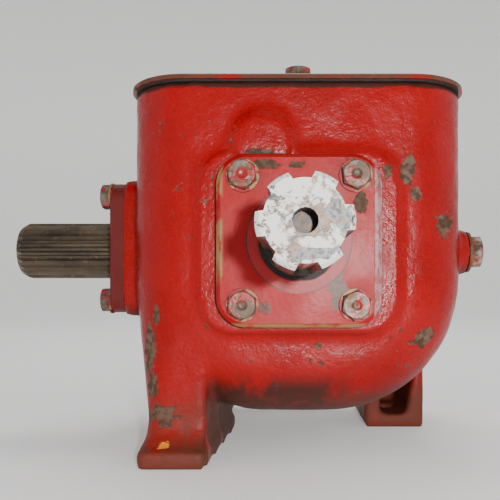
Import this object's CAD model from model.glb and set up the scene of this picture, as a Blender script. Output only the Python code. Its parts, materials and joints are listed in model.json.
"""Looks of a right angle bevel gearbox: a red painted casting with worn, greasy and rusty fittings.

Laid out as an add-on and run as a script. Every length is in metres, in the gearbox's own frame:
+Z up, the input shaft out towards -Y, the output shaft out towards -X, the feet standing on Z = 0.
"""

import json
import math

import bmesh
import bpy
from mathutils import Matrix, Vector, noise


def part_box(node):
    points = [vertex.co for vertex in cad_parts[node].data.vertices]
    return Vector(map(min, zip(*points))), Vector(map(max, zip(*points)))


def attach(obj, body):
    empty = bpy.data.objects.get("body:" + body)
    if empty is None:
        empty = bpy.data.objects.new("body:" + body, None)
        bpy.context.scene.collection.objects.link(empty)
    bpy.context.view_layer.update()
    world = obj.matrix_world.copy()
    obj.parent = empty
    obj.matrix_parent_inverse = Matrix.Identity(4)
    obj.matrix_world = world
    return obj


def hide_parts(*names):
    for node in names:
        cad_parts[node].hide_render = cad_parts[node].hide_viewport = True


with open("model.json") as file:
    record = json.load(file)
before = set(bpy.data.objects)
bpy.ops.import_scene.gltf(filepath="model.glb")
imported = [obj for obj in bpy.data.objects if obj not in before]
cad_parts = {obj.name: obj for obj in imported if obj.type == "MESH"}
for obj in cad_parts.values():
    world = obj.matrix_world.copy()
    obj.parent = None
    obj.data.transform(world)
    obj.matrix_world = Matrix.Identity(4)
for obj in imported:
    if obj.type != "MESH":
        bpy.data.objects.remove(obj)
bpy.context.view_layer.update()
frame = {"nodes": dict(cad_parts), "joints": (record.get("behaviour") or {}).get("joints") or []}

bl_info = {
    "name": "Bevel Gearbox Looks",
    "version": (1, 0, 0),
    "blender": (4, 5, 0),
    "location": "View3D > Sidebar > Gearbox",
    "description": "Detailed meshes, paint, wear and a studio for a right angle bevel gearbox",
    "category": "Object",
}

MM = 0.001
nodes = frame["nodes"]


def low(node):
    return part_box(node)[0]


def high(node):
    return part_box(node)[1]


def middle(node):
    return (low(node) + high(node)) / 2


# Places taken from the frame
input_joint = [j for j in frame["joints"] if j["name"] == "input_spin"][0]
CROSSING = Vector(input_joint["pos_m"])
INPUT_FACE_Y = low("input_cap").y
INPUT_END_Y = low("input_shaft").y
FRONT_PAD_Y = high("input_cap_gasket").y
RIM_Z = low("top_cover_gasket").z
BODY_FRONT_Y = low("top_cover_gasket").y
COVER_BOLT_Y = (-0.070, -0.002)
OUTPUT_LIP_X = -0.098  # where the seal's lip keeps the output shaft clean


# ------------------------------------------------------------------ properties


class CastingProperties(bpy.types.PropertyGroup):
    """Sizes and colours of the painted casting."""

    voxel: bpy.props.FloatProperty(
        name="Mesh Step", description="Edge length of the casting's mesh", default=2.0 * MM, unit="LENGTH"
    )
    smooth_steps: bpy.props.IntProperty(
        name="Edge Softening", description="How often edges and corners are relaxed", default=6
    )
    waviness: bpy.props.FloatProperty(
        name="Waviness", description="Depth of the sand mould's unevenness", default=0.28 * MM, unit="LENGTH"
    )
    paint: bpy.props.FloatVectorProperty(
        name="Paint", description="Colour of the enamel", subtype="COLOR", default=(0.31, 0.0010, 0.0022)
    )
    shade_paint: bpy.props.FloatVectorProperty(
        name="Aged Paint",
        description="Colour of the older, darker enamel",
        subtype="COLOR",
        default=(0.17, 0.0020, 0.0020),
    )
    grime: bpy.props.FloatVectorProperty(
        name="Grime", description="Colour of oil and dust", subtype="COLOR", default=(0.030, 0.012, 0.008)
    )
    bare: bpy.props.FloatVectorProperty(
        name="Chips",
        description="Colour where the paint is chipped",
        subtype="COLOR",
        default=(0.13, 0.075, 0.05),
    )


class FastenerProperties(bpy.types.PropertyGroup):
    """Sizes of the bolts and their washers."""

    flats: bpy.props.FloatProperty(
        name="Across Flats",
        description="Width of a bolt head across its flats",
        default=13 * MM,
        unit="LENGTH",
    )
    head: bpy.props.FloatProperty(
        name="Head Height", description="Height of a bolt head", default=5.3 * MM, unit="LENGTH"
    )
    shank: bpy.props.FloatProperty(
        name="Shank Diameter", description="Diameter of a bolt's shank", default=7.9 * MM, unit="LENGTH"
    )
    washer_outer: bpy.props.FloatProperty(
        name="Washer Diameter",
        description="Outer diameter of a spring washer",
        default=16.4 * MM,
        unit="LENGTH",
    )
    washer_inner: bpy.props.FloatProperty(
        name="Washer Hole", description="Hole of a spring washer", default=8.4 * MM, unit="LENGTH"
    )
    washer_thick: bpy.props.FloatProperty(
        name="Washer Thickness", description="Thickness of a spring washer", default=1.6 * MM, unit="LENGTH"
    )


class StudioProperties(bpy.types.PropertyGroup):
    """Light and camera of the studio."""

    distance: bpy.props.FloatProperty(
        name="Camera Distance",
        description="From the input cap's face to the camera",
        default=0.310,
        unit="LENGTH",
    )
    camera_x: bpy.props.FloatProperty(
        name="Camera X", description="Sideways place of the camera", default=-0.0069, unit="LENGTH"
    )
    camera_z: bpy.props.FloatProperty(
        name="Camera Height", description="Height of the camera", default=0.0909, unit="LENGTH"
    )
    lens: bpy.props.FloatProperty(name="Lens", description="Focal length in millimetres", default=45.8)
    shift: bpy.props.FloatVectorProperty(
        name="Shift", description="Shift of the lens", size=2, default=(-0.070, 0.0712)
    )
    flash_power: bpy.props.FloatProperty(
        name="Flash", description="Power of the small key light in watts", default=2.1
    )
    flash_offset: bpy.props.FloatVectorProperty(
        name="Flash Place",
        description="From the camera to the key light",
        unit="LENGTH",
        default=(0.059, -0.113, 0.029),
    )
    floor_tint: bpy.props.FloatVectorProperty(
        name="Floor", description="Colour of the floor", subtype="COLOR", default=(0.86, 0.86, 0.85)
    )


# ------------------------------------------------------------------ material building


class Graph:
    """Short names for the shader nodes that the finishes are built from."""

    def __init__(self, name):
        self.material = bpy.data.materials.new(name)
        self.material.use_nodes = True
        self.tree = self.material.node_tree
        self.shader = self.tree.nodes["Principled BSDF"]
        self.place = self.node("ShaderNodeTexCoord").outputs["Object"]

    def node(self, kind, **settings):
        made = self.tree.nodes.new(kind)
        for key, value in settings.items():
            setattr(made, key, value)
        return made

    def feed(self, socket, value):
        if isinstance(value, bpy.types.NodeSocket):
            self.tree.links.new(value, socket)
        elif isinstance(value, (tuple, list)) and len(value) == 3 and socket.type == "RGBA":
            socket.default_value = (*value, 1)
        else:
            socket.default_value = value

    def grain(self, size, detail=4, rough=0.55, stretch=(1, 1, 1), seed=0.0):
        """Noise from 0 to 1 whose blobs are about size metres across."""
        scaled = self.node("ShaderNodeMapping")
        scaled.inputs["Scale"].default_value = stretch
        scaled.inputs["Location"].default_value = (seed, seed * 0.7, seed * 1.3)
        self.feed(scaled.inputs["Vector"], self.place)
        made = self.node("ShaderNodeTexNoise")
        made.inputs["Scale"].default_value = 0.5 / size
        made.inputs["Detail"].default_value = detail
        made.inputs["Roughness"].default_value = rough
        self.feed(made.inputs["Vector"], scaled.outputs["Vector"])
        return made.outputs["Fac"]

    def math(self, operation, *values):
        made = self.node("ShaderNodeMath", operation=operation)
        for socket, value in zip(made.inputs, values):
            self.feed(socket, value)
        return made.outputs[0]

    def rise(self, value, start, end):
        """0 below start and 1 above end, smooth between; falls instead where start is above end."""
        made = self.node("ShaderNodeMapRange", interpolation_type="SMOOTHSTEP")
        flipped = start > end
        self.feed(made.inputs["Value"], value)
        made.inputs["From Min"].default_value = end if flipped else start
        made.inputs["From Max"].default_value = start if flipped else end
        made.inputs["To Min"].default_value = 1.0 if flipped else 0.0
        made.inputs["To Max"].default_value = 0.0 if flipped else 1.0
        return made.outputs["Result"]

    def patches(self, size, start, end, detail=4, rough=0.55, stretch=(1, 1, 1), seed=0.0):
        """Ragged patches: 0 where the noise is below start and 1 where it is above end."""
        return self.rise(self.grain(size, detail, rough, stretch, seed), start, end)

    def from_shaft(self):
        """Distance from the input shaft's axis."""
        across = self.math("POWER", self.math("SUBTRACT", self.axis("X"), CROSSING.x), 2.0)
        upwards = self.math("POWER", self.math("SUBTRACT", self.axis("Z"), CROSSING.z), 2.0)
        return self.math("SQRT", self.math("ADD", across, upwards))

    def blend(self, factor, under, over):
        made = self.node("ShaderNodeMix", data_type="RGBA")
        self.feed(made.inputs[0], factor)
        self.feed(made.inputs[6], under)
        self.feed(made.inputs[7], over)
        return made.outputs[2]

    def level(self, factor, under, over):
        made = self.node("ShaderNodeMix", data_type="FLOAT")
        self.feed(made.inputs[0], factor)
        self.feed(made.inputs[2], under)
        self.feed(made.inputs[3], over)
        return made.outputs[0]

    def axis(self, letter):
        made = self.node("ShaderNodeSeparateXYZ")
        self.feed(made.inputs[0], self.place)
        return made.outputs[letter]

    def facing(self, letter):
        """How far the surface faces along an axis, from -1 to 1."""
        made = self.node("ShaderNodeSeparateXYZ")
        self.feed(made.inputs[0], self.node("ShaderNodeNewGeometry").outputs["Normal"])
        return made.outputs[letter]

    def edges(self, start, end):
        """1 on convex edges."""
        pointiness = self.node("ShaderNodeNewGeometry").outputs["Pointiness"]
        return self.rise(pointiness, start, end)

    def near(self, spot, reach, ragged=0.5, stretch=(1, 1, 1), grain=2.5 * MM):
        """1 within a ragged distance of a spot, given in metres."""
        away = self.node("ShaderNodeVectorMath", operation="SUBTRACT")
        self.feed(away.inputs[0], self.place)
        away.inputs[1].default_value = spot
        scaled = self.node("ShaderNodeVectorMath", operation="MULTIPLY")
        self.feed(scaled.inputs[0], away.outputs[0])
        scaled.inputs[1].default_value = stretch
        length = self.node("ShaderNodeVectorMath", operation="LENGTH")
        self.feed(length.inputs[0], scaled.outputs[0])
        swing = self.math("SUBTRACT", self.grain(grain, 5, 0.65), 0.5)
        swing = self.math("MULTIPLY", swing, reach * 3 * ragged)
        return self.rise(self.math("ADD", length.outputs["Value"], swing), reach, reach * 0.85)

    def outside_plate(self, centre, corner, rounding):
        """How far a point lies outside a plate with rounded corners about the input axis, seen along Y."""
        overs = []
        for letter, axis in (("X", 0), ("Z", 2)):
            straight = corner[axis] - centre[axis] - rounding
            away = self.math("ABSOLUTE", self.math("SUBTRACT", self.axis(letter), CROSSING[axis]))
            overs.append(self.math("MAXIMUM", self.math("SUBTRACT", away, straight), 0.0))
        square = [self.math("MULTIPLY", over, over) for over in overs]
        return self.math("SUBTRACT", self.math("SQRT", self.math("ADD", *square)), rounding)

    def both(self, first, second):
        return self.math("MULTIPLY", first, second)

    def either(self, *masks):
        total = masks[0]
        for mask in masks[1:]:
            total = self.math("MAXIMUM", total, mask)
        return total

    def bump(self, height, distance, strength=1.0, under=None):
        made = self.node("ShaderNodeBump")
        made.inputs["Strength"].default_value = strength
        made.inputs["Distance"].default_value = distance
        self.feed(made.inputs["Height"], height)
        if under is not None:
            self.feed(made.inputs["Normal"], under)
        return made.outputs["Normal"]

    def finish(self, colour, roughness, metallic=0.0, normal=None, specular=0.5):
        self.feed(self.shader.inputs["Base Color"], colour)
        self.feed(self.shader.inputs["Roughness"], roughness)
        self.feed(self.shader.inputs["Metallic"], metallic)
        self.shader.inputs["Specular IOR Level"].default_value = specular
        if normal is not None:
            self.feed(self.shader.inputs["Normal"], normal)
        return self.material


STEEL = (0.15, 0.13, 0.11)
RUST = (0.16, 0.065, 0.022)
DARK_RUST = (0.055, 0.028, 0.015)
OLD_WHITE = (0.60, 0.59, 0.55)
GOLD = (0.30, 0.17, 0.055)


def casting_paint(settings):
    """Red enamel brushed over a rough sand casting, chipped, oily underneath and dusty on the feet."""
    g = Graph("casting_paint")
    patches = g.patches(28 * MM, 0.40, 0.72, 5, 0.6)
    colour = g.blend(g.math("MULTIPLY", patches, 0.45), tuple(settings.paint), tuple(settings.shade_paint))
    # Chips: a few larger scars where the box gets knocked, and small ones all over
    front = BODY_FRONT_Y
    scars = g.either(
        g.near((-0.067, front + 9 * MM, 0.177), 3.2 * MM, 0.6),
        g.near((-0.0765, front + 9 * MM, 0.058), 5.0 * MM, 0.8, (1, 1, 0.35)),
        g.near((-0.0755, front + 6 * MM, 0.040), 4.0 * MM, 0.7, (1, 1, 0.5)),
        g.near((0.056, front - 1 * MM, 0.150), 4.0 * MM, 0.9, (1, 1, 0.45)),
        g.near((0.060, front, 0.137), 3.0 * MM, 0.8, (1, 1, 0.7)),
        g.near((0.076, front + 9 * MM, 0.124), 7.0 * MM, 1.1),
        g.near((0.064, front + 6 * MM, 0.064), 5.0 * MM, 1.0, (0.6, 1, 1)),
        g.near((0.032, front + 4 * MM, 0.0335), 4.0 * MM, 1.0, (0.4, 1, 1.4)),
        g.near((-0.020, front - 3 * MM, 0.157), 3.6 * MM, 0.8, (0.4, 1, 1)),
        g.near((0.045, front - 3 * MM, 0.150), 2.6 * MM, 1.2, (1, 1, 0.6)),
        g.near((-0.073, front + 6 * MM, 0.075), 3.0 * MM, 1.2, (1.4, 1, 0.5)),
        g.near((-0.070, front + 3 * MM, 0.024), 5.0 * MM, 1.2, (0.6, 1, 1)),
        g.near((0.010, front, 0.060), 2.0 * MM, 1.0),
    )
    sparse = g.patches(4.5 * MM, 0.66, 0.685, 4, 0.6, seed=3.1)
    sparse = g.both(sparse, g.patches(40 * MM, 0.45, 0.6, 2, seed=1.7))
    edge_wear = g.both(g.edges(0.555, 0.60), g.patches(6 * MM, 0.48, 0.58, 5, 0.7, seed=5.3))
    slant = g.grain(1.6 * MM, 2, 0.5, (1.0, 0.1, 0.9), 11.0)
    scratched = g.near((0.062, front + 4 * MM, 0.058), 15 * MM, 0.5, (0.8, 1, 1))
    scratches = g.both(scratched, g.rise(slant, 0.64, 0.67))
    chips = g.either(scars, sparse, edge_wear, scratches)
    bare = g.blend(g.patches(1.6 * MM, 0.4, 0.6, 3, seed=9.0), tuple(settings.bare), DARK_RUST)
    colour = g.blend(chips, colour, bare)
    # Oil and dust: under the body, low on the feet, below the cover's seam
    height = g.axis("Z")
    streaks = g.grain(11 * MM, 6, 0.6, (1, 1, 0.35), 7.7)
    aside = g.math("ABSOLUTE", g.math("ADD", g.axis("X"), 0.012))
    under_body = g.both(g.rise(height, 0.050, 0.036), g.rise(aside, 0.046, 0.028))
    low_dust = g.both(g.rise(height, 0.040, 0.016), g.rise(streaks, 0.28, 0.50))
    seam_edge = g.math("ADD", height, g.math("MULTIPLY", g.grain(12 * MM, 3, seed=2.2), 5 * MM))
    seam = g.rise(seam_edge, RIM_Z - 1.6 * MM, RIM_Z - 0.4 * MM)
    off_cap = g.outside_plate(middle("input_cap"), high("input_cap"), 15 * MM)
    cap_gap = g.rise(off_cap, 2.2 * MM, 0.9 * MM)
    cap_gap = g.both(cap_gap, g.rise(g.axis("Y"), FRONT_PAD_Y + 2 * MM, FRONT_PAD_Y + 1 * MM))
    lit_side = g.rise(g.math("SUBTRACT", g.axis("X"), g.math("SUBTRACT", height, CROSSING.z)), 0.030, -0.005)
    cap_gap = g.both(cap_gap, g.level(lit_side, 0.35, 1.0))
    down = g.rise(g.facing("Z"), -0.35, -0.9)
    under_oil = g.both(under_body, g.rise(streaks, 0.30, 0.50))
    oily = g.either(under_oil, g.math("MULTIPLY", down, 0.75), seam, cap_gap)
    colour = g.blend(g.math("MULTIPLY", oily, 0.92), colour, tuple(settings.grime))
    colour = g.blend(g.math("MULTIPLY", low_dust, 0.78), colour, (0.095, 0.036, 0.020))
    yellow = g.either(
        g.near((-0.068, -0.124, 0.0115), 2.6 * MM, 0.9, (0.7, 0.6, 1.2)),
        g.near((-0.060, -0.124, 0.012), 1.8 * MM, 0.8, (0.8, 0.6, 1)),
    )
    colour = g.blend(yellow, colour, (0.75, 0.24, 0.02))
    # Surface: mould grain, brushed enamel, chipped hollows
    roughness = g.level(g.patches(7 * MM, 0.3, 0.7, 4, seed=4.0), 0.22, 0.36)
    roughness = g.level(g.either(chips, oily, low_dust), roughness, 0.62)
    normal = g.bump(g.grain(5 * MM, 3, 0.5), 0.6 * MM, 0.6)
    normal = g.bump(g.grain(1.1 * MM, 3, 0.6, seed=6.0), 0.34 * MM, 0.9, normal)
    normal = g.bump(g.math("SUBTRACT", 1.0, chips), 0.16 * MM, 0.8, normal)
    return g.finish(colour, roughness, 0.0, normal, 0.22)


def cap_paint(name, across, half_width, worn_rim):
    """Smoother enamel on a cap that is as wide along the axis across as twice half_width."""
    g = Graph(name)
    fresh, old = (0.13, 0.003, 0.003), (0.060, 0.004, 0.003)
    if worn_rim:
        fresh, old = (0.36, 0.0020, 0.0040), (0.25, 0.0030, 0.0040)
    colour = g.blend(g.math("MULTIPLY", g.patches(16 * MM, 0.4, 0.7, 4), 0.5), fresh, old)
    chips = g.patches(2.4 * MM, 0.63, 0.65, 5, 0.65, seed=2.0)
    chips = g.both(chips, g.patches(16 * MM, 0.50, 0.60, 2, seed=8.0))
    normal = g.bump(g.grain(7 * MM, 3, 0.5), 0.5 * MM, 0.5)
    normal = g.bump(g.grain(1.2 * MM, 4, 0.65, seed=6.0), 0.14 * MM, 0.8, normal)
    roughness = g.level(g.patches(9 * MM, 0.3, 0.7, 4, seed=1.0), 0.34, 0.46)
    if worn_rim:
        face = INPUT_FACE_Y
        chips = g.either(
            chips,
            g.near((-0.016, face, 0.1500), 2.2 * MM, 1.2, (0.30, 1, 1)),
            g.near((-0.002, face, 0.1500), 1.6 * MM, 1.2, (0.5, 1, 1)),
            g.near((0.030, face, 0.132), 3.6 * MM, 0.9, (1.0, 1, 0.6)),
            g.near((0.040, face, 0.142), 2.6 * MM, 0.9, (1, 1, 0.5)),
        )
        bare = g.blend(g.patches(1.5 * MM, 0.4, 0.6, 3), (0.10, 0.055, 0.030), DARK_RUST)
        colour = g.blend(chips, colour, bare)
        grease = g.either(
            g.near((0.0185, face, 0.0900), 5.6 * MM, 0.9, (1.1, 1, 0.55)),
            g.near((-0.0180, face, 0.0805), 3.2 * MM, 1.0, (0.6, 1, 1)),
        )
        colour = g.blend(g.math("MULTIPLY", grease, 0.9), colour, (0.085, 0.042, 0.022))
        x, z = g.axis("X"), g.axis("Z")
        off_middle = g.math("ABSOLUTE", g.math("SUBTRACT", z, CROSSING.z))
        right_band = g.rise(x, half_width - 4.3 * MM, half_width - 3.6 * MM)
        right_band = g.both(right_band, g.rise(off_middle, 0.040, 0.034))
        scuffed = g.patches(1.6 * MM, 0.42, 0.56, 4, 0.7, (1, 1, 0.6), 3.0)
        colour = g.blend(g.both(right_band, g.level(scuffed, 0.35, 0.95)), colour, (0.42, 0.27, 0.27))
        left_band = g.rise(x, -half_width + 4.2 * MM, -half_width + 2.2 * MM)
        gold_wear = g.both(left_band, g.patches(7 * MM, 0.44, 0.54, 4, 0.6, (1, 1, 0.5), 5.0))
        cap_foot = low("input_cap").z
        bottom_edge = g.rise(z, cap_foot + 2.6 * MM, cap_foot + 1.4 * MM)
        bottom_edge = g.both(bottom_edge, g.patches(9 * MM, 0.36, 0.5, 3, seed=6.5))
        gold = g.blend(g.grain(2 * MM), GOLD, (0.30, 0.16, 0.07))
        colour = g.blend(g.either(gold_wear, bottom_edge), colour, gold)
        roughness = g.level(right_band, roughness, 0.75)
        roughness = g.level(grease, roughness, 0.35)
        normal = g.bump(g.both(right_band, g.grain(0.9 * MM, 3, 0.7)), 0.5 * MM, 0.8, normal)
    else:
        colour = g.blend(chips, colour, DARK_RUST)
    sides = g.rise(g.math("ABSOLUTE", g.facing("Y" if across == "X" else "X")), 0.5, 0.2)
    colour = g.blend(g.math("MULTIPLY", sides, 0.45), colour, (0.10, 0.02, 0.015))
    roughness = g.level(chips, roughness, 0.65)
    normal = g.bump(g.math("SUBTRACT", 1.0, chips), 0.14 * MM, 0.8, normal)
    return g.finish(colour, roughness, 0.0, normal, 0.22)


def cover_paint():
    """Thin enamel on sheet steel, dusty on top and worn to dark metal at its edge."""
    g = Graph("cover_paint")
    aged = g.math("MULTIPLY", g.patches(30 * MM, 0.38, 0.66, 5), 0.6)
    colour = g.blend(aged, (0.30, 0.0015, 0.0018), (0.17, 0.006, 0.004))
    chips = g.patches(5 * MM, 0.585, 0.61, 5, 0.65, seed=2.0)
    chips = g.both(chips, g.patches(45 * MM, 0.42, 0.55, 2, seed=8.0))
    up = g.rise(g.facing("Z"), 0.6, 0.9)
    edge = g.both(g.math("SUBTRACT", 1.0, up), g.patches(18 * MM, 0.34, 0.50, 4, 0.6, seed=4.0))
    bare = g.blend(g.grain(2 * MM), DARK_RUST, (0.12, 0.05, 0.03))
    colour = g.blend(g.either(chips, g.math("MULTIPLY", edge, 0.9)), colour, bare)
    dust = g.both(up, g.patches(22 * MM, 0.45, 0.75, 6, 0.65, seed=6.0))
    colour = g.blend(g.math("MULTIPLY", dust, 0.45), colour, (0.22, 0.14, 0.10))
    roughness = g.level(g.either(chips, dust), 0.3, 0.7)
    normal = g.bump(g.grain(24 * MM, 2), 0.8 * MM, 0.3)
    normal = g.bump(g.grain(1.2 * MM, 3, seed=6.0), 0.08 * MM, 0.6, normal)
    normal = g.bump(g.math("SUBTRACT", 1.0, chips), 0.12 * MM, 0.8, normal)
    return g.finish(colour, roughness, 0.0, normal, 0.22)


def bolt_finish():
    """Red paint on plated heads, rubbed down to steel and rust at the corners."""
    g = Graph("bolt_finish")
    paint = g.blend(g.grain(6 * MM), (0.36, 0.003, 0.004), (0.24, 0.010, 0.009))
    rust = g.blend(g.grain(3 * MM), RUST, DARK_RUST)
    steel = g.blend(g.patches(1.6 * MM, 0.38, 0.6, 4, seed=3.0), STEEL, rust)
    corners = g.both(g.edges(0.52, 0.56), g.patches(2.4 * MM, 0.36, 0.5, 4, seed=1.0))
    bald = g.patches(9 * MM, 0.58, 0.63, 5, 0.65, seed=5.0)
    # Two of the input cap's heads have rusted over
    face = low("input_cap_bolts").y
    rusted = g.either(
        g.near((0.0300, face, 0.1475), 5.0 * MM, 0.9),
        g.near((-0.0250, face, 0.0790), 5.5 * MM, 1.0),
    )
    worn = g.either(corners, bald, rusted)
    scale = g.blend(g.grain(1.5 * MM), (0.14, 0.10, 0.07), DARK_RUST)
    colour = g.blend(worn, paint, g.blend(rusted, steel, scale))
    normal = g.bump(g.grain(1.2 * MM, 4, 0.6), 0.12 * MM, 0.7)
    normal = g.bump(g.math("SUBTRACT", 1.0, worn), 0.08 * MM, 0.8, normal)
    return g.finish(colour, g.level(worn, 0.3, 0.5), g.math("MULTIPLY", worn, 0.55), normal, 0.5)


def washer_finish():
    """Dull yellow plating with rust and old paint."""
    g = Graph("washer_finish")
    colour = g.blend(g.patches(2.5 * MM, 0.42, 0.6, 4), GOLD, (0.22, 0.12, 0.06))
    colour = g.blend(g.patches(5 * MM, 0.46, 0.54, 3, seed=4.0), colour, (0.22, 0.010, 0.010))
    return g.finish(colour, 0.5, 0.35, g.bump(g.grain(0.8 * MM, 3), 0.08 * MM, 0.7))


def input_shaft_finish():
    """White primer worn off to grey steel and rust on the end, oily dark steel along the sides."""
    g = Graph("input_shaft_finish")
    end = g.rise(g.axis("Y"), INPUT_END_Y + 3.0 * MM, INPUT_END_Y + 1.0 * MM)
    steel = g.blend(g.patches(0.8 * MM, 0.42, 0.58, 5, 0.75), (0.115, 0.12, 0.12), (0.018, 0.019, 0.019))
    face_z = CROSSING.z
    lower = g.near((0.0, INPUT_END_Y, face_z - 9.5 * MM), 8.5 * MM, 0.9, (0.75, 1, 1.9), 4 * MM)
    right = g.near((10.5 * MM, INPUT_END_Y, face_z + 3.0 * MM), 6.5 * MM, 0.9, (1, 1, 0.9), 4 * MM)
    inner = g.near((2.0 * MM, INPUT_END_Y, face_z - 2.0 * MM), 8.0 * MM, 0.9, (0.9, 1, 1.2), 4 * MM)
    specks = g.patches(2.2 * MM, 0.57, 0.61, 6, 0.75, seed=2.0)
    primer_gone = g.either(lower, right, g.both(inner, g.patches(2.0 * MM, 0.42, 0.5, 5, 0.7)), specks)
    crescent = g.near((4.0 * MM, INPUT_END_Y, face_z - 7.3 * MM), 5.4 * MM, 0.35, (0.62, 1, 2.3), 3 * MM)
    bottom = g.near((4.0 * MM, INPUT_END_Y, face_z - 14.6 * MM), 4.0 * MM, 0.4, (0.7, 1, 2.2), 3 * MM)
    kept = g.either(crescent, bottom)
    primer_gone = g.both(primer_gone, g.math("SUBTRACT", 1.0, kept))
    primer = g.blend(g.patches(2.5 * MM, 0.45, 0.75, 4, seed=8.0), OLD_WHITE, (0.66, 0.60, 0.52))
    face = g.blend(primer_gone, primer, steel)
    around_hole = g.near((0.0, INPUT_END_Y, face_z), 8.5 * MM, 1.0)
    rusty = g.either(
        g.both(around_hole, g.patches(1.8 * MM, 0.44, 0.56, 5, 0.7, seed=7.0)),
        g.both(g.patches(5 * MM, 0.5, 0.6, 4, seed=3.3), g.patches(1.2 * MM, 0.5, 0.6, 5, 0.7, seed=5.5)),
    )
    face = g.blend(g.math("MULTIPLY", rusty, 0.8), face, (0.16, 0.075, 0.028))
    oil = g.patches(6 * MM, 0.36, 0.62, 5, 0.6, (1, 0.25, 1))
    side = g.blend(oil, (0.11, 0.10, 0.09), (0.035, 0.024, 0.016))
    side = g.blend(g.edges(0.52, 0.57), side, (0.42, 0.41, 0.39))
    colour = g.blend(end, side, face)
    below_face = g.rise(g.axis("Y"), INPUT_END_Y + 0.2 * MM, INPUT_END_Y + 0.5 * MM)
    hole = g.both(g.rise(g.from_shaft(), 4.9 * MM, 4.55 * MM), below_face)
    deep = g.blend(g.patches(1.4 * MM, 0.45, 0.6, 4), (0.014, 0.014, 0.015), (0.040, 0.020, 0.008))
    colour = g.blend(hole, colour, deep)
    metal = g.level(end, 0.75, g.math("MULTIPLY", primer_gone, 0.35))
    roughness = g.level(end, 0.38, g.level(primer_gone, 0.55, 0.42))
    normal = g.bump(g.grain(0.7 * MM, 5, 0.7), 0.10 * MM, 0.8)
    normal = g.bump(g.both(end, g.math("SUBTRACT", 1.0, primer_gone)), 0.10 * MM, 0.8, normal)
    return g.finish(colour, roughness, g.math("MULTIPLY", metal, 0.8), normal, 0.5)


def output_shaft_finish():
    """Brown, oily, lightly rusted steel, polished only on the crests of the teeth."""
    g = Graph("output_shaft_finish")
    oil = g.patches(5 * MM, 0.35, 0.65, 6, 0.65, (0.3, 1, 1))
    colour = g.blend(oil, (0.115, 0.085, 0.055), (0.045, 0.033, 0.024))
    colour = g.blend(g.patches(2.2 * MM, 0.56, 0.66, 5, 0.7, seed=2.0), colour, (0.17, 0.105, 0.055))
    crest = g.both(g.edges(0.515, 0.56), g.patches(4 * MM, 0.38, 0.55, 4, seed=6.0))
    colour = g.blend(g.math("MULTIPLY", crest, 0.7), colour, (0.26, 0.22, 0.17))
    inside = g.rise(g.axis("X"), OUTPUT_LIP_X, OUTPUT_LIP_X + 2 * MM)
    oiled = g.blend(g.grain(9 * MM), (0.36, 0.35, 0.34), (0.24, 0.23, 0.22))
    colour = g.blend(inside, colour, oiled)
    normal = g.bump(g.grain(0.8 * MM, 5, 0.7), 0.14 * MM, 0.8)
    return g.finish(colour, g.level(crest, 0.5, 0.3), g.level(inside, 0.55, 0.9), normal, 0.5)


def machined_steel(name, light, dark, roughness):
    """Oiled machined steel with fine tool marks."""
    g = Graph(name)
    colour = g.blend(g.patches(8 * MM, 0.35, 0.7, 5, 0.6), light, dark)
    tone = g.level(g.patches(3 * MM, 0.3, 0.7, 4), roughness, roughness + 0.15)
    return g.finish(colour, tone, 0.95, g.bump(g.grain(0.5 * MM, 4, 0.7), 0.03 * MM, 0.6))


def plug_finish():
    """A plug once painted, now mostly brown."""
    g = Graph("plug_finish")
    colour = g.blend(g.patches(4 * MM, 0.42, 0.56, 5, 0.65), (0.30, 0.030, 0.022), (0.085, 0.045, 0.028))
    rubbed = g.both(g.edges(0.53, 0.57), g.patches(2 * MM, 0.4, 0.6, 4, seed=3.0))
    colour = g.blend(rubbed, colour, (0.34, 0.28, 0.22))
    return g.finish(colour, 0.45, 0.25, g.bump(g.grain(1.1 * MM, 4, 0.6), 0.14 * MM, 0.8))


def plain_finish(name, light, dark, roughness, metallic, size=3 * MM, relief=0.06 * MM):
    """A mottled finish for gaskets, seals and sealing washers."""
    g = Graph(name)
    colour = g.blend(g.patches(size, 0.35, 0.65, 5, 0.65), light, dark)
    return g.finish(colour, roughness, metallic, g.bump(g.grain(size / 3, 4, 0.6), relief, 0.7))


def painted_seal():
    """A steel cased seal painted over with its cap, its rubber lip bare and greasy round the shaft."""
    g = Graph("painted_seal")
    away = g.from_shaft()
    ragged = g.math("ADD", away, g.math("MULTIPLY", g.grain(4 * MM, 4, 0.6), 3 * MM))
    paint = g.blend(g.patches(9 * MM, 0.4, 0.7, 4), (0.34, 0.0020, 0.0040), (0.22, 0.0030, 0.0040))
    lip = g.rise(ragged, 22.0 * MM, 20.8 * MM)
    seam = g.both(g.rise(away, 25.2 * MM, 25.7 * MM), g.patches(8 * MM, 0.35, 0.5, 3, seed=3.0))
    colour = g.blend(g.either(lip, seam), paint, (0.016, 0.009, 0.007))
    roughness = g.level(lip, 0.42, 0.6)
    return g.finish(colour, roughness, 0.0, g.bump(g.grain(1.2 * MM, 4, 0.6), 0.14 * MM, 0.8), 0.4)


def floor_finish(tint):
    """A pale, slightly mottled studio floor."""
    g = Graph("studio_floor")
    darker = tuple(0.985 * value for value in tint)
    colour = g.blend(g.grain(60 * MM, 3), tuple(tint), darker)
    g.shader.inputs["Emission Color"].default_value = (1, 1, 1, 1)
    g.shader.inputs["Emission Strength"].default_value = 0.24
    return g.finish(colour, 0.85, 0.0, None, 0.2)


# ------------------------------------------------------------------ repeated fasteners as node trees


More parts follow.
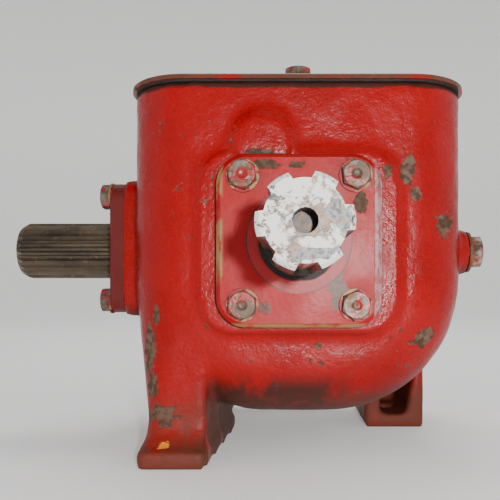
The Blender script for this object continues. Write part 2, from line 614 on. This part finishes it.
class Tree:
    """Short names for the geometry nodes that repeated fasteners are built from."""

    def __init__(self, name, sizes):
        self.tree = bpy.data.node_groups.new(name, "GeometryNodeTree")
        self.tree.is_modifier = True
        sockets = self.tree.interface
        sockets.new_socket("Seats", in_out="INPUT", socket_type="NodeSocketGeometry")
        for label in sizes:
            sockets.new_socket(label, in_out="INPUT", socket_type="NodeSocketFloat")
        sockets.new_socket("Finish", in_out="INPUT", socket_type="NodeSocketMaterial")
        sockets.new_socket("Fasteners", in_out="OUTPUT", socket_type="NodeSocketGeometry")
        self.sizes = sizes
        self.given = self.node("NodeGroupInput").outputs

    def node(self, kind, inputs=None, **settings):
        made = self.tree.nodes.new(kind)
        for key, value in settings.items():
            setattr(made, key, value)
        for key, value in (inputs or {}).items():
            if isinstance(value, bpy.types.NodeSocket):
                self.tree.links.new(value, made.inputs[key])
            else:
                made.inputs[key].default_value = value
        return made

    def sum(self, operation, first, second):
        return self.node("ShaderNodeMath", {0: first, 1: second}, operation=operation).outputs[0]

    def lifted(self, mesh, height):
        offset = self.node("ShaderNodeCombineXYZ", {"Z": height}).outputs[0]
        return self.node("GeometryNodeTransform", {"Geometry": mesh, "Translation": offset}).outputs[0]

    def cylinder(self, sides, radius, depth):
        sizes = {"Vertices": sides, "Radius": radius, "Depth": depth}
        return self.node("GeometryNodeMeshCylinder", sizes).outputs["Mesh"]

    def finish(self, fastener, seed):
        """Stand one fastener on each seat, turned at random about its own axis."""
        stored = {"Name": "outwards"}
        out = self.node("GeometryNodeInputNamedAttribute", stored, data_type="FLOAT_VECTOR").outputs[0]
        upright = self.node("FunctionNodeAlignRotationToVector", {"Vector": out}).outputs[0]
        spin = self.node("FunctionNodeRandomValue", {"Max": 2 * math.pi, "Seed": seed}, data_type="FLOAT")
        spin = [socket for socket in spin.outputs if socket.enabled][0]
        turn = self.node("FunctionNodeAxisAngleToRotation", {"Angle": spin}).outputs[0]
        both = {0: upright, 1: turn}
        turned = self.node("FunctionNodeRotateRotation", both, rotation_space="LOCAL").outputs[0]
        placing = {"Points": self.given["Seats"], "Instance": fastener, "Rotation": turned}
        placed = self.node("GeometryNodeInstanceOnPoints", placing).outputs[0]
        real = self.node("GeometryNodeRealizeInstances", {"Geometry": placed}).outputs[0]
        coating = {"Geometry": real, "Material": self.given["Finish"]}
        coated = self.node("GeometryNodeSetMaterial", coating).outputs[0]
        self.node("NodeGroupOutput", {0: coated})

    def apply(self, made, finish):
        """Put the tree on an object whose points are the seats."""
        modifier = made.modifiers.new(self.tree.name, "NODES")
        modifier.node_group = self.tree
        for item in self.tree.interface.items_tree:
            if item.in_out == "INPUT" and item.name in self.sizes:
                modifier[item.identifier] = self.sizes[item.name]
            if item.in_out == "INPUT" and item.name == "Finish":
                modifier[item.identifier] = finish


def bolt_tree(sizes, reach):
    """Hexagon head with a turned chamfer and a forged dimple, on a plain shank."""
    given = {"Flats": sizes.flats, "Head": sizes.head, "Shank": sizes.shank, "Reach": reach}
    t = Tree("hexagon_bolts", given)
    flats, head = t.given["Flats"], t.given["Head"]
    prism = t.lifted(t.cylinder(6, t.sum("DIVIDE", flats, math.sqrt(3)), head), t.sum("MULTIPLY", head, 0.5))
    top = t.sum("MULTIPLY", flats, 0.475)
    cone = t.node(
        "GeometryNodeMeshCone",
        {
            "Vertices": 48,
            "Radius Top": top,
            "Radius Bottom": t.sum("ADD", top, t.sum("MULTIPLY", head, math.sqrt(3))),
            "Depth": head,
        },
    ).outputs["Mesh"]
    turned = t.node("GeometryNodeMeshBoolean", operation="INTERSECT", solver="EXACT")
    for part in (cone, prism):
        t.tree.links.new(part, turned.inputs[1])
    ball_size = {"Segments": 24, "Rings": 12, "Radius": t.sum("MULTIPLY", flats, 0.42)}
    ball = t.node("GeometryNodeMeshUVSphere", ball_size).outputs["Mesh"]
    ball = t.lifted(ball, t.sum("ADD", head, t.sum("MULTIPLY", flats, 0.365)))
    dimpled = t.node(
        "GeometryNodeMeshBoolean", {0: turned.outputs[0], 1: ball}, operation="DIFFERENCE", solver="EXACT"
    )
    down = t.sum("MULTIPLY", t.given["Reach"], -0.5)
    shank = t.lifted(t.cylinder(24, t.sum("MULTIPLY", t.given["Shank"], 0.5), t.given["Reach"]), down)
    joined = t.node("GeometryNodeJoinGeometry")
    for part in (dimpled.outputs[0], shank):
        t.tree.links.new(part, joined.inputs[0])
    t.finish(joined.outputs[0], 7)
    return t


def washer_tree(sizes):
    """Spring washer: a flat bar wound into one open turn whose ends stand apart."""
    t = Tree(
        "spring_washers",
        {"Outer": sizes.washer_outer, "Inner": sizes.washer_inner, "Thickness": sizes.washer_thick},
    )
    outer, inner, thick = (t.given[label] for label in ("Outer", "Inner", "Thickness"))
    bar = t.sum("MULTIPLY", thick, 0.8)
    turn = t.node(
        "GeometryNodeCurveArc",
        {
            "Resolution": 56,
            "Radius": t.sum("MULTIPLY", t.sum("ADD", outer, inner), 0.25),
            "Sweep Angle": math.radians(351),
        },
        mode="RADIUS",
    ).outputs["Curve"]
    along = t.node("GeometryNodeSplineParameter").outputs["Factor"]
    lift = t.sum("ADD", t.sum("MULTIPLY", along, t.sum("SUBTRACT", thick, bar)), t.sum("MULTIPLY", bar, 0.5))
    offset = t.node("ShaderNodeCombineXYZ", {"Z": lift}).outputs[0]
    turn = t.node("GeometryNodeSetPosition", {"Geometry": turn, "Offset": offset}).outputs[0]
    turn = t.node("GeometryNodeSetCurveNormal", {"Curve": turn}, mode="Z_UP").outputs[0]
    section = t.node(
        "GeometryNodeCurvePrimitiveQuadrilateral",
        {"Width": t.sum("MULTIPLY", t.sum("SUBTRACT", outer, inner), 0.5), "Height": bar},
    ).outputs[0]
    winding = {"Curve": turn, "Profile Curve": section, "Fill Caps": True}
    wound = t.node("GeometryNodeCurveToMesh", winding).outputs[0]
    t.finish(wound, 11)
    return t


def bolt_seats(cap, radius):
    """Places of a cap's washers and the direction their bolts stand in."""
    inner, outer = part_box(cap + "_washers")
    if cap == "top_cover":
        x = outer.x - radius
        spots = [(0, inner.y + radius), (0, outer.y - radius)]
        spots += [(side * x, y) for side in (-1, 1) for y in COVER_BOLT_Y]
        return [Vector((x, y, inner.z)) for x, y in spots], Vector((0, 0, 1))
    heights = (inner.z + radius, outer.z - radius)
    if cap == "output_cap":
        spots = [Vector((outer.x, y, z)) for y in (inner.y + radius, outer.y - radius) for z in heights]
        return spots, Vector((-1, 0, 0))
    face, side = (outer.y, -1) if cap == "input_cap" else (inner.y, 1)
    spots = [Vector((x, face, z)) for x in (inner.x + radius, outer.x - radius) for z in heights]
    return spots, Vector((0, side, 0))


def seat_object(name, spots, outwards):
    """An object with one loose point for each seat, carrying the direction its fastener stands in."""
    mesh = bpy.data.meshes.new(name)
    mesh.from_pydata(spots, [], [])
    direction = mesh.attributes.new("outwards", "FLOAT_VECTOR", "POINT")
    direction.data.foreach_set("vector", list(outwards) * len(spots))
    return solid_object(name, mesh)


# ------------------------------------------------------------------ mesh building


def solid_object(name, mesh):
    made = bpy.data.objects.new(name, mesh)
    bpy.context.scene.collection.objects.link(made)
    return made


def welded_copy(node, name):
    """A copy of a frame node's mesh with its loose triangles joined."""
    mesh = nodes[node].data.copy()
    mesh.name = name
    mesh.materials.clear()
    shape = bmesh.new()
    shape.from_mesh(mesh)
    bmesh.ops.remove_doubles(shape, verts=shape.verts, dist=1e-6)
    shape.to_mesh(mesh)
    shape.free()
    return solid_object(name, mesh)


def bake(made):
    """Turn an object and its modifiers into one plain mesh."""
    depsgraph = bpy.context.evaluated_depsgraph_get()
    mesh = bpy.data.meshes.new_from_object(made.evaluated_get(depsgraph))
    made.modifiers.clear()
    made.data = mesh
    return made


def wave_surface(mesh, depth):
    """Make cast faces slightly uneven, leave machined ones flat and keep all inside the housing's box."""
    inner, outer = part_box("housing")
    machined = (
        (1, FRONT_PAD_Y),
        (1, low("rear_cap_gasket").y),
        (0, high("output_cap_gasket").x),
        (2, RIM_Z),
        (2, 0.0),
    )
    broad, fine, reach = 75.0, 210.0, 0.9 * MM  # waves a metre, and how near a plane counts as machined
    places = [0.0] * (3 * len(mesh.vertices))
    normals = [0.0] * (3 * len(mesh.vertices))
    mesh.vertices.foreach_get("co", places)
    mesh.vertex_normals.foreach_get("vector", normals)
    for start in range(0, len(places), 3):
        place = Vector(places[start : start + 3])
        wave = noise.noise(place * broad) + 0.5 * noise.noise(place * fine)
        moved = place + Vector(normals[start : start + 3]) * wave * depth
        for axis, plane in machined:
            if abs(place[axis] - plane) < reach:
                moved[axis] = plane
        for axis in range(3):
            places[start + axis] = min(max(moved[axis], inner[axis]), outer[axis])
    mesh.vertices.foreach_set("co", places)
    mesh.update()


def paint_node(node, material):
    """Give a frame node its finish."""
    slots = nodes[node].data.materials
    if len(slots) == 0:
        slots.append(material)
    for index in range(len(slots)):
        slots[index] = material


def settings():
    """The three groups of properties."""
    scene = bpy.context.scene
    return scene.gearbox_casting, scene.gearbox_fasteners, scene.gearbox_studio


# ------------------------------------------------------------------ operators


class GEARBOX_OT_casting(bpy.types.Operator):
    """Make the housing a soft edged, slightly uneven casting and paint it"""

    bl_idname = "gearbox.casting"
    bl_label = "Make Casting"

    def execute(self, context):
        casting = settings()[0]
        made = welded_copy("housing", "housing_casting")
        remesh = made.modifiers.new("grid", "REMESH")
        remesh.mode = "VOXEL"
        remesh.voxel_size = casting.voxel
        relax = made.modifiers.new("relax", "SMOOTH")
        relax.factor = 0.5
        relax.iterations = casting.smooth_steps
        bake(made)
        wave_surface(made.data, casting.waviness)
        for face in made.data.polygons:
            face.use_smooth = True
        made.data.materials.append(casting_paint(casting))
        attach(made, "gearcase")
        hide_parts("housing")
        return {"FINISHED"}


class GEARBOX_OT_caps(bpy.types.Operator):
    """Paint the bearing caps, their gaskets and seals, and the top cover"""

    bl_idname = "gearbox.caps"
    bl_label = "Finish Caps and Cover"

    def execute(self, context):
        half = high("input_cap").x
        paint_node("input_cap", cap_paint("input_cap_paint", "X", half, True))
        small = cap_paint("small_cap_paint", "Y", half, False)
        paint_node("output_cap", small)
        paint_node("rear_cap", cap_paint("rear_cap_paint", "X", half, False))
        paint_node("top_cover", cover_paint())
        gasket = plain_finish("gasket_paper", (0.030, 0.018, 0.014), (0.012, 0.009, 0.008), 0.8, 0.0)
        for node in ("top_cover_gasket", "input_cap_gasket", "output_cap_gasket", "rear_cap_gasket"):
            paint_node(node, gasket)
        soft, greasy = (0.012, 0.007, 0.006), (0.030, 0.014, 0.009)
        rubber = plain_finish("seal_rubber", soft, greasy, 0.75, 0.0, 5 * MM, 0.2 * MM)
        paint_node("output_seal", rubber)
        paint_node("input_seal", painted_seal())
        return {"FINISHED"}


class GEARBOX_OT_fasteners(bpy.types.Operator):
    """Finish the bolts, washers and plugs"""

    bl_idname = "gearbox.fasteners"
    bl_label = "Finish Fasteners"

    def execute(self, context):
        sizes = settings()[1]
        steel, plated = bolt_finish(), washer_finish()
        washer_nodes = washer_tree(sizes)
        for cap in ("input_cap", "output_cap", "rear_cap", "top_cover"):
            spots, outwards = bolt_seats(cap, sizes.washer_outer / 2)
            rings = seat_object(cap + "_spring_washers", spots, outwards)
            washer_nodes.apply(rings, plated)
            seats = [spot + outwards * sizes.washer_thick for spot in spots]
            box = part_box(cap + "_bolts")
            long = sum(abs((box[1][k] - box[0][k]) * outwards[k]) for k in range(3))
            heads = seat_object(cap + "_hexagon_bolts", seats, outwards)
            bolt_tree(sizes, long - sizes.head).apply(heads, steel)
            for made, width in ((rings, 0.15 * MM), (heads, 0.30 * MM)):
                bevel = made.modifiers.new("edges", "BEVEL")
                bevel.width = width
                bevel.segments = 2
                bevel.limit_method = "ANGLE"
                bevel.angle_limit = math.radians(25)
                bake(made)
                for face in made.data.polygons:
                    face.use_smooth = False
            for made, kind, slot in ((rings, "_washers", "washer_plate"), (heads, "_bolts", "painted_bolt")):
                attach(made, "gearcase")
                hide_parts(cap + kind)
        plug = plug_finish()
        ring = plain_finish("sealing_washer", (0.20, 0.10, 0.05), (0.06, 0.035, 0.02), 0.5, 0.6)
        for group in ("level_plug", "filler_plug", "drain_plug"):
            paint_node(group, plug)
            paint_node(group + "_washer", ring)
        return {"FINISHED"}


class GEARBOX_OT_drive(bpy.types.Operator):
    """Finish the shafts, gears and bearings"""

    bl_idname = "gearbox.drive"
    bl_label = "Finish Drive Train"

    def execute(self, context):
        paint_node("input_shaft", input_shaft_finish())
        paint_node("output_pinion_shaft", output_shaft_finish())
        gear = machined_steel("gear_steel", (0.46, 0.45, 0.44), (0.30, 0.29, 0.28), 0.22)
        paint_node("crown_gear", gear)
        paint_node("gear_key", gear)
        for node in ("gear_spacer", "output_spacer", "input_circlip", "output_circlip"):
            paint_node(node, gear)
        ground = machined_steel("bearing_steel", (0.74, 0.74, 0.75), (0.62, 0.62, 0.63), 0.10)
        brass = machined_steel("cage_brass", (0.68, 0.50, 0.22), (0.50, 0.36, 0.15), 0.28)
        for place in ("input_front", "input_rear", "output_outer", "output_inner"):
            for part in ("_outer", "_inner", "_balls"):
                paint_node(place + "_bearing" + part, ground)
            paint_node(place + "_bearing_cage", brass)
        return {"FINISHED"}


class GEARBOX_OT_studio(bpy.types.Operator):
    """Set up the pale floor, the soft lights and the camera"""

    bl_idname = "gearbox.studio"
    bl_label = "Set Up Studio"

    def execute(self, context):
        studio = settings()[2]
        # Floor and backdrop: one wide bowl, flat in the middle and curving up on every side
        inner_r, flat_r, bend_r, wall_top, sides, bend_steps = 0.4, 1.5, 0.7, 1.9, 72, 12
        floor_z = -0.0003  # just under the feet
        profile = [(inner_r, 0.0), (flat_r, 0.0)]
        for step in range(1, bend_steps + 1):
            turn = math.radians(90 * step / bend_steps)
            profile.append((flat_r + bend_r * math.sin(turn), bend_r - bend_r * math.cos(turn)))
        profile.append((flat_r + bend_r, wall_top))
        corners = [(0.0, 0.0, floor_z)]
        for radius, z in profile:
            for side in range(sides):
                turn = 2 * math.pi * side / sides
                corners.append((radius * math.cos(turn), radius * math.sin(turn), z + floor_z))
        faces = [(0, 1 + side, 1 + (side + 1) % sides) for side in range(sides)]
        for ring in range(len(profile) - 1):
            for side in range(sides):
                near, beside = 1 + ring * sides + side, 1 + ring * sides + (side + 1) % sides
                faces.append((near, near + sides, beside + sides, beside))
        mesh = bpy.data.meshes.new("studio_floor")
        mesh.from_pydata(corners, [], faces)
        for face in mesh.polygons:
            face.use_smooth = True
        floor = solid_object("studio_floor", mesh)
        mesh.materials.append(floor_finish(studio.floor_tint))

        camera_place = Vector((studio.camera_x, INPUT_FACE_Y - studio.distance, studio.camera_z))
        camera_data = bpy.data.cameras.new("studio_camera")
        camera_data.lens = studio.lens
        camera_data.sensor_width = 36  # millimetres
        camera_data.shift_x, camera_data.shift_y = studio.shift
        camera_data.clip_start = 0.01
        camera = solid_object("studio_camera", camera_data)
        camera.location = camera_place
        camera.rotation_euler = (math.radians(90), 0, 0)
        bpy.context.scene.camera = camera

        def lamp(name, place, target, size, power, tint=(1, 1, 1)):
            light = bpy.data.lights.new(name, "AREA")
            light.shape = "DISK"
            light.size = size
            light.energy = power
            light.color = tint
            made = solid_object(name, light)
            made.location = place
            made.rotation_euler = (Vector(target) - Vector(place)).to_track_quat("-Z", "Y").to_euler()

        aim = (0.0, -0.05, 0.10)
        flash = camera_place + Vector(studio.flash_offset)
        lamp("flash", flash, aim, 0.02, studio.flash_power)
        lamp("soft_top", (0.25, -0.20, 1.3), aim, 1.2, 2.4)
        lamp("backdrop", (0.0, 0.45, 1.3), (0.0, 0.9, 0.0), 0.8, 9.0)
        lamp("soft_left", (-1.1, -0.5, 0.6), aim, 0.9, 0.7)
        lamp("soft_right", (1.1, -0.3, 0.7), aim, 0.9, 1.1)
        world = bpy.data.worlds.new("studio_world")
        world.use_nodes = True
        world.node_tree.nodes["Background"].inputs["Color"].default_value = (1, 1, 1, 1)
        world.node_tree.nodes["Background"].inputs["Strength"].default_value = 0.09
        bpy.context.scene.world = world
        return {"FINISHED"}


class GEARBOX_PT_sidebar(bpy.types.Panel):
    """The gearbox's steps and settings"""

    bl_label = "Gearbox"
    bl_idname = "GEARBOX_PT_sidebar"
    bl_space_type = "VIEW_3D"
    bl_region_type = "UI"
    bl_category = "Gearbox"

    def draw(self, context):
        for operator in OPERATORS:
            self.layout.operator(operator.bl_idname)
        for group in settings():
            box = self.layout.box()
            for name in group.__annotations__:
                box.prop(group, name)


GROUPS = {
    "gearbox_casting": CastingProperties,
    "gearbox_fasteners": FastenerProperties,
    "gearbox_studio": StudioProperties,
}
OPERATORS = (
    GEARBOX_OT_casting,
    GEARBOX_OT_caps,
    GEARBOX_OT_fasteners,
    GEARBOX_OT_drive,
    GEARBOX_OT_studio,
)


def register():
    for kind in (*GROUPS.values(), *OPERATORS, GEARBOX_PT_sidebar):
        bpy.utils.register_class(kind)
    for name, kind in GROUPS.items():
        setattr(bpy.types.Scene, name, bpy.props.PointerProperty(type=kind))


def unregister():
    for name in GROUPS:
        delattr(bpy.types.Scene, name)
    for kind in reversed((*GROUPS.values(), *OPERATORS, GEARBOX_PT_sidebar)):
        bpy.utils.unregister_class(kind)


def main():
    register()
    bpy.ops.gearbox.casting()
    bpy.ops.gearbox.caps()
    bpy.ops.gearbox.fasteners()
    bpy.ops.gearbox.drive()
    bpy.ops.gearbox.studio()


if __name__ == "__main__":
    main()
